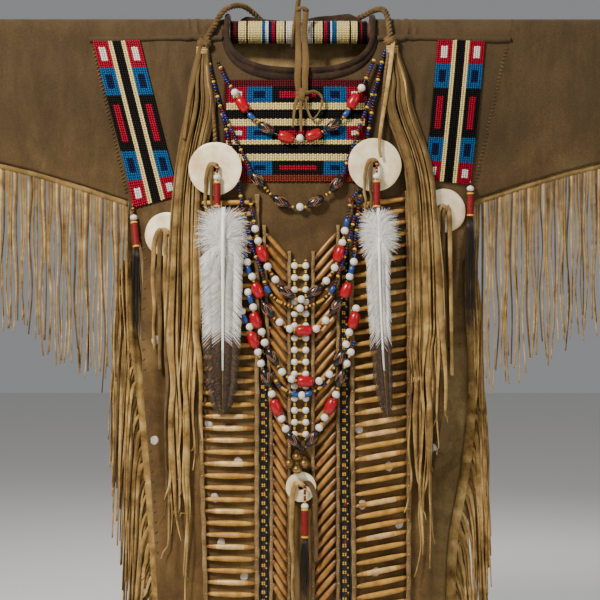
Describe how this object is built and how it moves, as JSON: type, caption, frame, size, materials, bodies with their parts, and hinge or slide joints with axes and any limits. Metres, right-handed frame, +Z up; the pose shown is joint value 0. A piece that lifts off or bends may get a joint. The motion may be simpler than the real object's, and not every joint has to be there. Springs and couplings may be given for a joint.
{
  "type": "plains war shirt on a hanging rod",
  "caption": "Hide war shirt with open sleeves, beaded bib and shoulder strips, shell discs, feathers, pipe breastplate, bead strands and fringe, on a wrapped rod with a hanging loop.",
  "frame": {"origin": "under the crown of the hanging loop, where a hook bears, in the plane of the rod", "axes": "+X along the rod, towards the wearer's left sleeve; +Y from the front to the back; +Z up"},
  "size_m": [1.5, 0.1654, 1.1569],
  "materials": {
    "hide": "smoked brain-tanned hide, dull",
    "dark_hide": "dark hide collar, worn",
    "thong": "yellow ochre thong and fringe",
    "beadwork": "flat panels of small glass beads, red with blue, black and cream",
    "light_beads": "white beads with red and black barrels between",
    "dark_beads": "black glass beads with gold ones between",
    "shell": "ivory shell, slightly glossy",
    "bone_pipes": "honey-coloured bone pipes with amber ends",
    "feather": "white and grey speckled feather with a dark tip",
    "horsehair": "black horsehair",
    "quill_wrap": "dusty red quill wrapping",
    "brass": "antique brass",
    "wrapped_rod": "turned wooden rod, wrapped in bands of beads at its middle"
  },
  "bodies": {
    "root": {"hanger_rod": "wrapped_rod", "front_hide": "hide", "back_hide": "hide", "collar": "dark_hide", "sleeve_left": "hide", "sleeve_right": "hide", "bib_panel": "beadwork", "strip_left": "beadwork", "strip_right": "beadwork", "side_fringe_left": "thong", "side_fringe_right": "thong", "sleeve_fringe_left": "thong", "sleeve_fringe_right": "thong", "shoulder_thongs_left_back": "thong", "shoulder_thongs_left_front": "thong", "shoulder_thongs_right_back": "thong", "shoulder_thongs_right_front": "thong", "neck_cord": "thong", "hanging_loop": "thong", "neck_lace": "thong", "breastplate_outer_left": "bone_pipes", "breastplate_outer_right": "bone_pipes", "breastplate_inner_left": "bone_pipes", "breastplate_inner_right": "bone_pipes", "bead_band_left": "dark_beads", "bead_band_right": "dark_beads", "centre_ladder": "light_beads", "disc_chest_left": "shell", "disc_chest_right": "shell", "disc_sleeve_left": "shell", "disc_sleeve_right": "shell", "disc_centre": "shell", "disc_thongs_chest_left": "thong", "disc_thongs_chest_right": "thong", "disc_thongs_sleeve_left": "thong", "disc_thongs_sleeve_right": "thong", "disc_thongs_centre": "thong", "drop_chest_left": "quill_wrap", "drop_chest_right": "quill_wrap", "drop_sleeve_left": "quill_wrap", "drop_sleeve_right": "quill_wrap", "drop_centre": "quill_wrap", "feather_left": "feather", "feather_right": "feather", "horsehair_left": "horsehair", "horsehair_right": "horsehair", "horsehair_centre": "horsehair", "bell_1": "brass", "bell_2": "brass", "bell_3": "brass", "bell_4": "brass", "strand_1": "light_beads", "strand_2": "light_beads", "strand_3": "light_beads", "strand_4": "light_beads", "strand_5": "light_beads", "strand_6": "light_beads", "strand_7": "light_beads", "strand_8": "light_beads"}
  },
  "joints": []
}
